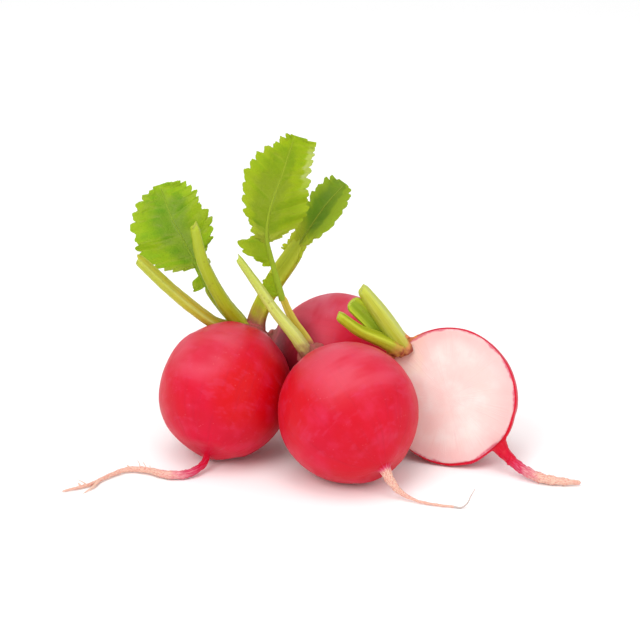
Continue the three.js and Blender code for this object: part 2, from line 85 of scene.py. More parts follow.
# Each root: where its globe stands, which ways its crown and its tail point, the globe's radius
# across and its length from the middle to each end, how much wider it is towards the crown (egg),
# the height and radius of the crown's neck, how far the tail's foot flares, the points that the
# tail passes, its radii from globe to tip, and where along it the red starts and ends to fade.
# Then its colours: whether the crown is tan or brown, how far down that reaches (collar), which way
# the side with its painted shadow looks, where a deeper red is painted as shade on the side turned
# from the light, and where a pink highlight is painted. A place has the way that it looks, how
# nearly a spot must look that way to show it a little and in full, and its strength.
ROOTS = {
    "front": {
        "x": 0.4, "y": 0.6,
        "crown": (-0.489, 0.673, 0.555), "tail_way": (0.489, -0.673, -0.555),
        "radius": 16.95, "crown_half": 17.7, "tail_half": 16.5, "egg": 0.03,
        "crown_height": 3.6, "crown_radius": 3.5, "flare": 0.4,
        "tail": [(9.9, -12.0, 4.7), (12.1, -12.8, 2.1), (16.0, -15.1, 0.75), (20.4, -16.8, 0.45),
                 (25.0, -18.0, 0.4)],
        "tail_radii": [1.35, 1.05, 0.7, 0.35, 0.3, 0.28, 0.25],
        "fades": (-0.45, 1.7), "tan": 0, "collar": 3.4, "painted_shadow": None,
        "ruddy_and_shade": [((-0.85, -0.45, 0.3), 0.72, 0.97, 0.8)],
        "painted_highlight": [((0.0, -0.3, 0.95), 0.6, 0.98, 0.6)],
    },
    "left": {
        "x": -29.9, "y": 15.9,
        "crown": (0.4, 0.66, 0.636), "tail_way": (-0.26, -0.6, -0.757),
        "radius": 16.3, "crown_half": 17.1, "tail_half": 17.1, "egg": -0.02,
        "crown_height": 2.0, "crown_radius": 3.6, "flare": 0.25,
        "tail": [(-35.2, 3.2, 2.2), (-38.9, -0.5, 1.3), (-43.5, -0.8, 1.2), (-48.8, 2.2, 1.1),
                 (-53.6, 3.1, 0.9), (-57.9, -0.5, 0.75), (-62.0, -5.4, 0.65), (-68.4, -9.0, 0.4)],
        "tail_radii": [0.8, 0.88, 1.05, 1.05, 0.8, 0.74, 0.6, 0.52, 0.46, 0.4, 0.2],
        "fades": (-1.5, 18.5), "tan": 0, "collar": 2.6, "painted_shadow": None,
        "ruddy_and_shade": [((0.35, -0.85, 0.3), 0.78, 0.97, 1.0), ((0.75, -0.6, 0.2), 0.7, 0.95, 1.0)],
        "painted_highlight": [((-0.3, -0.3, 0.9), 0.74, 0.97, 0.6)],
    },
    "back": {
        "x": -2.2, "y": 35.9,
        "crown": (-0.95, 0.269, 0.16), "tail_way": (0.95, -0.269, -0.16),
        "radius": 17.2, "crown_half": 17.3, "tail_half": 17.3, "egg": 0.02,
        "crown_height": 2.2, "crown_radius": 4.0, "flare": 0.8,
        "tail": [(17.4, 30.8, 11.2), (19.6, 31.8, 6.6), (23.4, 34.2, 2.6), (28.6, 36.6, 1.0),
                 (34.0, 36.0, 0.6)],
        "tail_radii": [1.5, 1.3, 1.0, 0.8, 0.6, 0.45, 0.3],
        "fades": (1.0, 14.0), "tan": 0, "collar": 3.2, "painted_shadow": (-0.74, -0.58, 0.34),
        "ruddy_and_shade": [],
        "painted_highlight": [((0.0, -0.1, 0.99), 0.82, 0.97, 1.0), ((-0.45, -0.5, 0.74), 0.8, 1.0, 0.55)],
    },
    "half": {
        "x": 24.9, "y": 12.0,
        "crown": (-0.699, 0.426, 0.575), "tail_way": (0.699, -0.426, -0.575),
        "radius": 16.7, "crown_half": 16.9, "tail_half": 16.9, "egg": 0.02,
        "crown_height": 2.4, "crown_radius": 3.9, "flare": 1.5,
        "tail": [(38.2, 3.6, 5.0), (41.4, 0.6, 2.8), (46.2, -3.2, 1.5), (51.0, -4.7, 1.2),
                 (56.0, -5.1, 0.95)],
        "tail_radii": [1.55, 1.35, 1.25, 1.25, 1.25, 1.2, 1.05, 0.8, 0.45],
        "fades": (2.0, 17.5), "tan": 1, "collar": 2.4, "painted_shadow": None, "ruddy_and_shade": [], "painted_highlight": [],
    },
}

# Each stalk: the points along its middle, from the crown up, its half widths from there to its end,
# the way that its grooved side looks, how far a trimmed end slopes, and its colours: the groove,
# the body, the edges of the groove, the foot and the base, with how far up those two reach in mm.
# A groove that is deeper than GROOVE is given as sunk.
STALKS = {
    "left_stalk_thin": {
        "path": [(-26.6, 28.6, 27.4), (-29.7, 28.2, 28.8), (-32.8, 25.8, 30.8), (-41.2, 22.8, 38.7),
                 (-51.0, 19.6, 49.6)],
        "half_widths": [1.85, 1.85, 1.9, 1.85, 1.6], "faces": (0.5, -0.3, 0.8), "slant": 0.9,
        "tones": [(204, 174, 28), (196, 192, 46), (218, 216, 130), (190, 128, 48), (164, 92, 66)],
        "foot": 3.4,
    },
    "left_stalk_thick": {
        "path": [(-25.0, 27.4, 28.0), (-26.9, 27.2, 31.3), (-30.4, 25.6, 36.8), (-35.0, 23.6, 47.1),
                 (-37.1, 21.8, 57.5)],
        "half_widths": [3.0, 2.7, 2.4, 2.15, 1.95, 1.5], "faces": (0.9, 0.2, 0.35), "slant": 0.9,
        "tones": [(176, 188, 50), (174, 186, 22), (194, 202, 80), (188, 146, 52), (166, 96, 66)],
        "foot": 3.6,
    },
    "left_leaf_stalk": {
        "path": [(-25.6, 29.6, 27.0), (-29.2, 30.2, 30.7), (-32.0, 30.2, 34.0), (-34.0, 30.0, 37.0),
                 (-34.9, 29.8, 38.6)],
        "half_widths": [1.5, 1.2, 1.0, 0.9], "faces": (0.3, -0.9, 0.4),
        "tones": [(138, 158, 34), (154, 172, 36), (188, 200, 84), (170, 120, 60), (152, 86, 68)],
        "foot": 3.0,
    },
    "right_leaf_stalk": {
        "path": [(-22.9, 26.7, 27.8), (-22.5, 27.4, 31.2), (-18.7, 28.5, 39.6), (-13.6, 29.0, 47.4),
                 (-11.0, 29.0, 51.9), (-8.9, 29.8, 54.9), (-6.0, 31.0, 58.6)],
        "half_widths": [2.4, 2.3, 2.25, 2.4, 2.55, 2.4, 1.6, 0.9, 0.4], "faces": (-0.5, -0.8, 0.35),
        "tones": [(168, 180, 24), (184, 192, 32), (204, 208, 64), (192, 132, 72), (160, 88, 82)],
        "foot": 7.0,
    },
    "front_stalk": {
        "path": [(-8.9, 11.7, 27.3), (-12.7, 12.0, 32.8), (-17.1, 13.0, 38.1), (-21.5, 13.8, 44.6),
                 (-26.4, 14.0, 51.8)],
        "half_widths": [2.3, 2.05, 1.75, 1.5, 1.15], "faces": (0.75, 0, 0.6), "slant": 0.8,
        # Its base is a dark maroon, partly its own colour and partly painted shade where it meets
        # the shadow under the crown.
        "tones": [(206, 210, 92), (200, 206, 88), (224, 226, 146), (196, 152, 104), (132, 62, 60)],
        "foot": 5.4,
    },
    "middle_leaf_stalk": {
        "path": [(-8.4, 13.0, 26.8), (-10.1, 14.6, 30.3), (-13.3, 15.8, 35.0), (-15.5, 17.0, 39.6),
                 (-16.0, 17.1, 40.8)],
        "half_widths": [1.4, 1.2, 1.0, 0.85], "faces": (0, -0.9, 0.4),
        "tones": [(190, 166, 40), (204, 172, 52), (216, 200, 96), (206, 128, 92), (164, 88, 78)],
        "foot": 5.0,
    },
    "back_stalk_upper": {
        "path": [(-17.4, 40.6, 20.0), (-20.6, 42.2, 20.8), (-23.4, 44.4, 22.6)],
        "half_widths": [1.5, 1.35], "faces": (0.3, -0.2, 0.9), "slant": 0.4,
        "tones": [(150, 156, 40), (176, 178, 56), (212, 208, 120), (170, 96, 66), (150, 80, 68)],
        "foot": 2.4,
    },
    "back_stalk_lower": {
        "path": [(-17.4, 40.2, 17.4), (-21.0, 41.2, 16.6), (-24.6, 43.0, 16.8)],
        "half_widths": [1.2, 1.1], "faces": (0.1, -0.4, 0.9), "slant": 0.3,
        "tones": [(146, 150, 40), (172, 172, 52), (206, 204, 112), (170, 96, 66), (150, 80, 68)],
        "foot": 2.4,
    },
    "half_stalk_upper": {
        "path": [(13.9, 20.3, 26.9), (11.7, 18.4, 31.2), (7.9, 17.2, 37.2), (3.6, 16.6, 43.2)],
        "half_widths": [3.3, 3.3, 2.75, 1.9], "faces": (0.75, 0, 0.6), "slant": 0.5,
        "tones": [(196, 204, 80), (196, 202, 62), (212, 218, 118), (216, 180, 84), (224, 144, 92)],
        "foot": 4.2,
    },
    "half_stalk_middle": {
        "path": [(12.4, 18.4, 27.2), (9.6, 17.7, 30.1), (5.4, 16.8, 34.9), (1.0, 16.3, 39.6)],
        "half_widths": [2.4, 2.2, 2.1], "faces": (-0.1, -0.9, 0.4),
        "tones": [(142, 168, 24), (178, 198, 32), (200, 214, 60), (192, 180, 50), (208, 160, 72)],
        "foot": 3.6, "sunk": 0.62,
    },
    "half_stalk_lower": {
        "path": [(12.2, 17.4, 27.6), (8.6, 14.4, 30.5), (3.0, 12.8, 33.6), (-2.2, 12.2, 37.8)],
        "half_widths": [2.4, 2.0, 1.6], "faces": (0.6, 0, 0.8), "slant": 0.3,
        "tones": [(164, 174, 26), (184, 192, 34), (206, 210, 70), (194, 170, 54), (208, 150, 76)],
        "foot": 3.6,
    },
}

# Each leaf: the points along its rib, the way its face looks, and its parts from the foot up. A
# part lies between two places on the rib, as shares of its length. left and right are how far its
# sides stand out, at even steps of an arc from foot to head (a side that isn't given is bare), and
# lean is how far its middle reaches towards the tip. The blade's sides rise towards its face by cup
# and wave by ripple. pale_side is where its pale fold starts across the blade and between which
# places along it. The blade's middle, between two places across and two along, is darkened as
# painted shade for its folds and curled inner face. The tones are the blade, its darker mottling
# and painted shade, its veins, its edge, its fold and its foot, and foot is how far up the rib the
# last of them reaches.
LEAVES = {
    "left_leaf": {
        "rib": [(-34.4, 29.8, 37.4), (-37.3, 29.5, 44.4), (-40.6, 29.2, 51.5), (-43.4, 28.7, 57.6),
                (-46.0, 28.8, 65.6)],
        "faces": (0.05, -0.93, 0.3),
        "parts": [
            {"from": 0.07, "to": 0.17, "left": [0, 1.9, 3.3, 3.2, 1.6, 0], "lean": -0.9,
             "teeth": 2},
            {"from": 0.18, "to": 0.245, "right": [0, 3.0, 3.7, 2.0, 0], "lean": 1.9, "teeth": 2},
            {"from": 0.25, "to": 1.0,
             "left": [0.5, 1.4, 3.2, 5.4, 7.2, 8.8, 10.0, 10.8, 10.7, 10.2, 9.7, 8.6, 7.0, 5.0,
                      3.6, 2.0, 0.6],
             "right": [0.5, 0.8, 1.5, 2.9, 4.6, 6.2, 7.5, 8.3, 8.3, 8.1, 8.0, 7.7, 7.0, 6.3,
                       5.4, 3.8, 1.0],
             "teeth": 15, "veins": 5},
        ],
        "tooth_depth": 1.5, "cup": 0.1, "ripple": 0.3, "ripple_step": 0.05, "rib_half": 0.5,
        "pale_side": (2.0, 0, 1), "painted_shade": (-0.38, 0.55, 0.25, 0.9), "foot": 0.06,
        "tones": [(134, 170, 20), (84, 134, 26), (146, 176, 56), (152, 182, 36), (150, 186, 50),
                  (150, 170, 44)],
    },
    "middle_leaf": {
        "rib": [(-16.0, 17.1, 40.3), (-18.1, 18.0, 48.2), (-19.6, 18.0, 55.6), (-18.8, 17.6, 62.5),
                (-15.9, 17.7, 71.0), (-12.7, 19.2, 80.6)],
        "faces": (0.1, -0.94, 0.3),
        "parts": [
            {"from": 0.02, "to": 0.15, "left": [0, 2.2, 3.2, 3.6, 3.2, 1.8, 0], "lean": 0.6,
             "teeth": 4},
            {"from": 0.205, "to": 0.388, "left": [0.4, 1.6, 2.8, 3.8, 4.8, 5.8, 6.5, 5.9, 3.4, 0.6],
             "lean": 0.9, "teeth": 5},
            {"from": 0.35, "to": 1.0,
             "left": [0.5, 0.9, 1.8, 2.9, 3.7, 4.8, 5.7, 7.0, 8.1, 8.2, 7.6, 6.3, 4.8, 3.5,
                      2.2, 1.2, 0.6],
             "right": [0.5, 1.6, 3.8, 6.1, 7.7, 8.5, 8.7, 8.7, 8.1, 6.8, 5.8, 5.8, 5.6, 5.6,
                       5.6, 4.0, 1.4],
             "teeth": 16, "veins": 5},
        ],
        "tooth_depth": 1.4, "cup": -0.1, "ripple": 0.3, "ripple_step": 0.05, "rib_half": 0.95,
        "pale_side": (0.78, 0.52, 0.92), "painted_shade": (-0.6, 0.3, 0.38, 0.9), "foot": 0.08,
        "tones": [(134, 160, 10), (104, 132, 14), (156, 176, 50), (150, 174, 26), (172, 188, 88),
                  (150, 162, 40)],
    },
    "right_leaf": {
        "rib": [(-13.6, 28.9, 47.2), (-11.1, 27.8, 51.9), (-8.8, 27.3, 55.7), (-5.5, 28.6, 60.2),
                (-0.5, 31.4, 65.2)],
        "faces": (-0.5, -0.75, 0.45),
        "parts": [
            {"from": 0.0, "to": 1.0,
             "left": [2.9, 3.1, 3.2, 3.2, 3.2, 3.2, 3.3, 3.4, 3.5, 3.9, 4.3, 4.7, 4.5, 4.2,
                      3.5, 2.4, 0.8],
             "right": [2.2, 2.3, 2.3, 2.4, 2.4, 2.5, 2.7, 3.8, 5.2, 6.5, 6.7, 5.7, 4.5, 3.4,
                       2.4, 1.7, 0.4],
             "teeth": 12, "veins": 4},
        ],
        "tooth_depth": 1.0, "cup": 0.5, "ripple": 0.2, "ripple_step": 0.06, "rib_half": 0.3,
        "pale_side": (0.4, -0.3, 1.3), "painted_shade": (-0.6, 0.35, 0.42, 0.9), "foot": 0.42,
        "tones": [(130, 152, 26), (94, 128, 28), (148, 166, 54), (150, 172, 36), (146, 168, 36),
                  (184, 194, 40)],
    },
}


def mix(a, b, share):
    return a + (b - a) * share


def clamp(value, low=0.0, high=1.0):
    return max(low, min(high, value))


def eased(value, low, high):
    """0 below low, 1 above high, and smooth between."""
    share = clamp((value - low) / (high - low))
    return share * share * (3 - 2 * share)


def waver(n):
    """A value between -1 and 1 that changes from one whole number to the next."""
    return sin(n * 2.7 + sin(n * 1.3) * 2)


def along(values, share):
    """A number read off an evenly spaced list at a share of its length."""
    place = clamp(share) * (len(values) - 1)
    i = min(floor(place), len(values) - 2)
    return mix(values[i], values[i + 1], place - i)


def smooth_line(points):
    """Points close together on a smooth curve through the given ones."""
    ends = [2 * points[0] - points[1], *points, 2 * points[-1] - points[-2]]
    fine = []
    for a, b, c, d in zip(ends, ends[1:], ends[2:], ends[3:]):
        ab, bc, cd = (sqrt((q - p).length) for p, q in ((a, b), (b, c), (c, d)))
        leave = ((b - a) / ab - (c - a) / (ab + bc) + (c - b) / bc) * bc
        arrive = ((c - b) / bc - (d - b) / (bc + cd) + (d - c) / cd) * bc
        for i in range(LINE_STEPS):
            t = i / LINE_STEPS
            bend = (3 * (c - b) - 2 * leave - arrive) * t**2
            fine.append(b + leave * t + bend + (2 * (b - c) + leave + arrive) * t**3)
    fine.append(points[-1])
    return fine


class Course:
    """A smooth line through points, read off by the distance along it. Its way up is square to it
    and turns as little as possible, or follows the way that is given."""

    def __init__(self, points, faces=None):
        self.points = smooth_line([Vector(p) for p in points])
        self.distances = [0.0]
        for a, b in zip(self.points, self.points[1:]):
            self.distances.append(self.distances[-1] + (b - a).length)
        self.length = self.distances[-1]
        self.aheads, self.ups = [], []
        up = Vector(faces or (0.31, 0.17, 0.93))
        last = len(self.points) - 1
        for i in range(last + 1):
            ahead = (self.points[min(i + 1, last)] - self.points[max(i - 1, 0)]).normalized()
            if faces:
                up = Vector(faces)
            up = (up - ahead * up.dot(ahead)).normalized()
            self.aheads.append(ahead)
            self.ups.append(up)

    def place(self, distance):
        """The point there, the line's direction, the way up and the way across."""
        i = int(clamp(bisect(self.distances, distance) - 1, 0, len(self.points) - 2))
        step = self.distances[i + 1] - self.distances[i]
        share = clamp((distance - self.distances[i]) / step)
        ahead = self.aheads[i].lerp(self.aheads[i + 1], share).normalized()
        up = self.ups[i].lerp(self.ups[i + 1], share)
        up = (up - ahead * up.dot(ahead)).normalized()
        point = self.points[i].lerp(self.points[i + 1], share)
        point += ahead * (distance - self.distances[i] - share * step)
        return point, ahead, up, ahead.cross(up)


def value_layer(bm, name):
    return bm.verts.layers.float.get(name) or bm.verts.layers.float.new(name)


def way_layer(bm):
    """Where a vertex lies round its piece and along it, so that streaks can follow the growth."""
    name = "lengthwise"
    return bm.verts.layers.float_vector.get(name) or bm.verts.layers.float_vector.new(name)


def roughened(bm, height, size, seed):
    """Raises and sinks a surface gently along its own normals."""
    bm.normal_update()
    for v in bm.verts:
        v.co += v.normal * height * noise.noise(v.co / size + Vector((seed, 0, 0)))


def finished(name, bm, material, replaced):
    """Puts a shape that was made in millimetres in its place in the bunch, as a piece of it."""
    bmesh.ops.translate(bm, verts=bm.verts, vec=SHIFT)
    bmesh.ops.scale(bm, verts=bm.verts, vec=(MM, MM, MM))
    mesh = bpy.data.meshes.new(name)
    bm.to_mesh(mesh)
    bm.free()
    mesh.shade_smooth()
    mesh.set_sharp_from_angle(angle=radians(SHARP_FROM))
    mesh.materials.append(material)
    piece = bpy.data.objects.new(name, mesh)
    bpy.context.collection.objects.link(piece)
    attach(piece, "root")
    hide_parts(replaced)


# Finishes


def tone(red, green, blue, share=LIT_SHARE):
    """A colour given as it looks when brightly lit, from 0 to 255, as the shader wants it."""
    shares = (red / 255, green / 255, blue / 255)
    linear = [c / 12.92 if c <= 0.04045 else ((c + 0.055) / 1.055) ** 2.4 for c in shares]
    return (*[c * share for c in linear], 1)


class Nodes:
    """Adds nodes to one tree and joins them."""

    def __init__(self, tree):
        self.tree = tree

    def add(self, kind, sockets, **settings):
        made = self.tree.nodes.new(kind)
        for name, value in settings.items():
            setattr(made, name, value)
        for name, value in sockets.items():
            if isinstance(value, bpy.types.NodeSocket):
                self.tree.links.new(value, made.inputs[name])
            else:
                made.inputs[name].default_value = value
        return made

    def place(self):
        return self.add("ShaderNodeTexCoord", {}).outputs["Object"]

    def value(self, name):
        return self.add("ShaderNodeAttribute", {}, attribute_name=name).outputs["Fac"]

    def way(self, stretch):
        """The piece's own lengthwise coordinates, drawn out along it."""
        way = self.add("ShaderNodeAttribute", {}, attribute_name="lengthwise").outputs["Vector"]
        return self.add("ShaderNodeMapping", {"Vector": way, "Scale": stretch}).outputs["Vector"]

    def noise(self, scale, detail=3.0, place=None):
        sockets = {"Vector": place or self.place(), "Scale": scale, "Detail": detail}
        return self.add("ShaderNodeTexNoise", sockets).outputs["Fac"]

    def eased(self, value, low, high, to_low=0.0, to_high=1.0):
        sockets = {"Value": value, "From Min": low, "From Max": high, "To Min": to_low,
                   "To Max": to_high}
        made = self.add("ShaderNodeMapRange", sockets, interpolation_type="SMOOTHSTEP")
        return made.outputs["Result"]

    def uneven(self, scale, low, high):
        """A value that wanders between two bounds."""
        return self.eased(self.noise(scale), 0.3, 0.7, low, high)

    def sum(self, kind, a, b):
        return self.add("ShaderNodeMath", {0: a, 1: b}, operation=kind).outputs["Value"]

    def mixed(self, share, a, b):
        return self.add("ShaderNodeMix", {0: share, 6: a, 7: b}, data_type="RGBA").outputs[2]

    def tinted(self, colour, mask, strength, other):
        """A colour that turns towards another where a mask is high."""
        return self.mixed(self.sum("MULTIPLY", mask, strength), colour, tone(*other))

    def patches(self, per_metre, low, high):
        values = {"Per Metre": per_metre, "From": low, "To": high}
        return self.add("ShaderNodeGroup", values, node_tree=PATCHES).outputs["Mask"]

    def specks(self, per_metre, size):
        values = {"Per Metre": per_metre, "Size": size}
        return self.add("ShaderNodeGroup", values, node_tree=SPECKS).outputs["Mask"]

    def grain(self, per_metre):
        values = {"Per Metre": per_metre}
        return self.add("ShaderNodeGroup", values, node_tree=GRAIN).outputs["Height"]

    def bump(self, height, strength, distance):
        sockets = {"Height": height, "Strength": strength, "Distance": distance * MM}
        return self.add("ShaderNodeBump", sockets).outputs["Normal"]


def node_group(name, inputs, output):
    group = bpy.data.node_groups.new(name, "ShaderNodeTree")
    for socket in inputs:
        group.interface.new_socket(socket, in_out="INPUT", socket_type="NodeSocketFloat")
    group.interface.new_socket(output, in_out="OUTPUT", socket_type="NodeSocketFloat")
    nodes = Nodes(group)
    return group, nodes, nodes.add("NodeGroupInput", {}).outputs


def patches_group():
    """Soft patches of a chosen size, from 0 to 1."""
    group, n, given = node_group("soft_patches", ["Per Metre", "From", "To"], "Mask")
    spread = n.noise(given["Per Metre"], 4.0)
    n.add("NodeGroupOutput", {"Mask": n.eased(spread, given["From"], given["To"])})
    return group


def specks_group():
    """Small round specks, of which only some show."""
    group, n, given = node_group("small_specks", ["Per Metre", "Size"], "Mask")
    cells = n.add("ShaderNodeTexVoronoi", {"Vector": n.place(), "Scale": given["Per Metre"]})
    near = n.eased(cells.outputs["Distance"], 0.0, given["Size"], 1.0, 0.0)
    chosen = n.eased(n.noise(140.0), 0.5, 0.62)
    n.add("NodeGroupOutput", {"Mask": n.sum("MULTIPLY", near, chosen)})
    return group


def grain_group():
    """The fine relief of moist plant skin."""
    group, n, given = node_group("fine_grain", ["Per Metre"], "Height")
    coarse = n.noise(given["Per Metre"], 5.0)
    fine = n.noise(n.sum("MULTIPLY", given["Per Metre"], 5.0), 2.0)
    n.add("NodeGroupOutput", {"Height": n.sum("MULTIPLY_ADD", coarse, fine)})
    return group


PATCHES = patches_group()
SPECKS = specks_group()
GRAIN = grain_group()


def new_finish(name, roughness, specular, soak, soak_radius):
    """A material, its nodes and its shader. Light soaks a little way into all of these."""
    material = bpy.data.materials.new(name)
    material.use_nodes = True
    shader = material.node_tree.nodes["Principled BSDF"]
    shader.inputs["Roughness"].default_value = roughness
    shader.inputs["Specular IOR Level"].default_value = specular
    shader.inputs["Subsurface Weight"].default_value = soak
    shader.inputs["Subsurface Radius"].default_value = soak_radius
    shader.inputs["Subsurface Scale"].default_value = MM
    return material, Nodes(material.node_tree), shader


def connect(n, shader, **sockets):
    for name, socket in sockets.items():
        n.tree.links.new(socket, shader.inputs[name.replace("_", " ")])


def skin_finish():
    material, n, shader = new_finish("radish_skin", 0.42, 0.17, 0.1, (1.2, 0.2, 0.25))
    colour = n.mixed(n.patches(70, 0.38, 0.66), tone(218, 7, 52), tone(208, 4, 44))
    # Deeper red, in random patches and as painted shade on the sides turned from the highlight.
    ruddy_and_shade = n.sum("MULTIPLY", n.patches(46, 0.44, 0.6), 0.5)
    colour = n.mixed(n.sum("MAXIMUM", ruddy_and_shade, n.value("ruddy_and_shade")), colour, tone(212, 2, 18))
    colour = n.tinted(colour, n.patches(210, 0.46, 0.74), 0.36, (222, 48, 88))
    streaks = n.eased(n.noise(5, 5, n.way((3.0, 3.0, 0.22))), 0.5, 0.76)
    colour = n.tinted(colour, streaks, 0.24, (184, 12, 46))
    bands = n.noise(3.2, 4, n.way((1.4, 1.4, 2.2)))
    arcs = n.noise(1.2, 2, n.way((0.7, 0.7, 1.6)))
    # Painted highlight: a pink glow where each globe faces the light, broken into uneven arcs.
    highlight_mask = n.sum("MULTIPLY", n.value("painted_highlight"), n.eased(arcs, 0.36, 0.62, 0.3, 1.0))
    colour = n.tinted(colour, highlight_mask, 0.68, (232, 112, 134))
    pores = n.specks(900, 0.2)
    colour = n.tinted(colour, pores, 0.25, (244, 132, 140))
    # Painted shadow: a dark maroon on the back globe's side that lies in the shade between the
    # other globes.
    shadow_mask = n.sum("MULTIPLY", n.value("painted_shadow"), n.eased(bands, 0.3, 0.6, 0.75, 0.95))
    colour = n.mixed(shadow_mask, colour, tone(128, 20, 34))
    pale = n.value("paleness")
    fading = n.sum("ADD", pale, n.eased(bands, 0.3, 0.7, -0.16, 0.16))
    colour = n.mixed(n.eased(fading, 0.06, 0.42), colour, tone(214, 66, 104))
    colour = n.mixed(n.eased(fading, 0.34, 0.72), colour, tone(232, 150, 158))
    colour = n.mixed(n.eased(fading, 0.62, 0.98), colour, tone(240, 200, 178))
    scars = n.eased(n.noise(6, 3, n.way((1.0, 1.0, 3.4))), 0.5, 0.6)
    scars = n.sum("MULTIPLY", scars, n.eased(pale, 0.3, 0.9))
    colour = n.tinted(colour, scars, 0.7, (210, 100, 96))
    collar = n.sum("ADD", n.value("collar"), n.uneven(700, -0.16, 0.16))
    colour = n.mixed(n.eased(collar, 0.1, 0.7, 0.0, 0.8), colour, tone(196, 84, 92))
    brown = n.mixed(n.value("tan"), tone(150, 86, 74), tone(226, 150, 88))
    cracks = n.eased(n.noise(7, 3, n.way((2.2, 2.2, 0.5))), 0.4, 0.6, 0.7, 1.0)
    colour = n.mixed(n.sum("MULTIPLY", n.eased(collar, 0.5, 1.1), cracks), colour, brown)
    rough = n.sum("ADD", n.uneven(260, 0.38, 0.5), n.eased(collar, 0.2, 0.8, 0.0, 0.25))
    relief = n.sum("ADD", n.grain(420), n.sum("MULTIPLY", streaks, 0.5))
    shader.inputs["Sheen Weight"].default_value = 0.03
    shader.inputs["Sheen Roughness"].default_value = 0.35
    shader.inputs["Sheen Tint"].default_value = tone(255, 190, 205)
    connect(n, shader, Base_Color=colour, Roughness=rough, Normal=n.bump(relief, 0.3, 0.12))
    return material


def dry_finish():
    """The dried hair at the end of a tail."""
    material, n, shader = new_finish("dry_root_hair", 0.6, 0.3, 0.0, (1, 1, 1))
    colour = n.mixed(n.noise(900), tone(186, 170, 164), tone(216, 200, 192))
    connect(n, shader, Base_Color=colour, Normal=n.bump(n.grain(1500), 0.4, 0.05))
    return material


def flesh_finish():
    material, n, shader = new_finish("radish_flesh", 0.4, 0.45, 0.35, (2.0, 1.1, 0.9))
    colour = n.mixed(n.patches(130, 0.36, 0.68), tone(250, 216, 210), tone(253, 236, 230))
    depth = n.sum("ADD", n.value("inward"), n.uneven(300, -0.35, 0.35))
    cream = n.sum("ADD", n.value("creaminess"), n.uneven(180, -0.2, 0.2))
    colour = n.mixed(n.eased(cream, 0.1, 0.9, 0.0, 0.85), colour, tone(252, 226, 194))
    colour = n.mixed(n.eased(depth, 0.2, 7.0, 0.75, 0.0), colour, tone(246, 190, 188))
    colour = n.mixed(n.eased(depth, 0.0, 0.55, 0.9, 0.0), colour, tone(226, 92, 118))
    rays = n.eased(n.noise(4, 4, n.way((6.0, 6.0, 0.3))), 0.5, 0.72)
    colour = n.tinted(colour, rays, 0.3, (246, 204, 200))
    relief = n.sum("ADD", n.grain(700), rays)
    connect(n, shader, Base_Color=colour, Roughness=n.uneven(700, 0.3, 0.48),
            Normal=n.bump(relief, 0.25, 0.1))
    return material


def stalk_finish(name, stalk):
    material, n, shader = new_finish(f"{name}_skin", 0.45, 0.2, 0.12, (0.8, 0.9, 0.2))
    groove, body, edge, foot, base = stalk["tones"]
    reach = stalk["foot"]
    colour = n.mixed(n.value("groove"), tone(*body), tone(*groove))
    streaks = n.noise(4, 4, n.way((3.2, 3.2, 0.3)))
    colour = n.tinted(colour, n.eased(streaks, 0.54, 0.7), 0.4, (112, 128, 24))
    colour = n.tinted(colour, n.value("stripe"), 0.6, edge)
    colour = n.tinted(colour, n.eased(streaks, 0.46, 0.34), 0.4, edge)
    rise = n.sum("ADD", n.value("rise"), n.uneven(420, -1.0, 1.0))
    for low, high, at_low, at_high, other in (
        (14.0, 30.0, 0.0, 0.5, (176, 194, 62)),
        (0.3 * reach, 1.3 * reach, 0.6, 0.0, foot),
        (0.2 * reach, 0.85 * reach, 0.9, 0.0, base),
        (-0.6, 1.2, 0.9, 0.0, (142, 44, 44)),
    ):
        colour = n.mixed(n.eased(rise, low, high, at_low, at_high), colour, tone(*other))
    colour = n.tinted(colour, n.specks(700, 0.3), 0.45, (122, 88, 30))
    colour = n.tinted(colour, n.value("trimmed"), 0.6, (204, 204, 104))
    relief = n.sum("ADD", n.grain(600), streaks)
    connect(n, shader, Base_Color=colour, Roughness=n.uneven(500, 0.34, 0.5),
            Normal=n.bump(relief, 0.4, 0.15))
    return material


def leaf_finish(name, leaf):
    material, n, shader = new_finish(f"{name}_green", 0.55, 0.11, 0.15, (0.7, 1.1, 0.2))
    blade, mottle_and_shade, vein, edge, fold, foot = leaf["tones"]
    colour = n.tinted(tone(*blade), n.patches(120, 0.4, 0.66), 0.5, mottle_and_shade)
    # Painted shade: the blade's middle is darkened where it folds and curls away from the light.
    painted_shade = n.eased(n.sum("ADD", n.value("painted_shade"), n.uneven(170, -0.3, 0.3)), 0.1, 1.1)
    colour = n.tinted(colour, painted_shade, 0.9, mottle_and_shade)
    colour = n.tinted(colour, n.patches(620, 0.44, 0.7), 0.25, mottle_and_shade)
    cells = n.add("ShaderNodeTexVoronoi", {"Vector": n.place(), "Scale": 620},
                  feature="DISTANCE_TO_EDGE").outputs["Distance"]
    net = n.eased(cells, 0.02, 0.14, 1.0, 0.0)
    colour = n.tinted(colour, net, 0.06, vein)
    colour = n.tinted(colour, n.eased(n.value("out"), 0.55, 1.0), 0.6, edge)
    colour = n.tinted(colour, n.value("pale_side"), 0.8, fold)
    colour = n.tinted(colour, n.value("foot"), 0.85, foot)
    colour = n.mixed(n.eased(n.value("vein"), 0.1, 1.0, 0.0, 0.6), colour, tone(*vein))
    relief = n.sum("SUBTRACT", n.grain(800), net)
    connect(n, shader, Base_Color=colour, Roughness=n.uneven(500, 0.42, 0.58),
            Normal=n.bump(relief, 0.25, 0.12))
    return material


# Roots


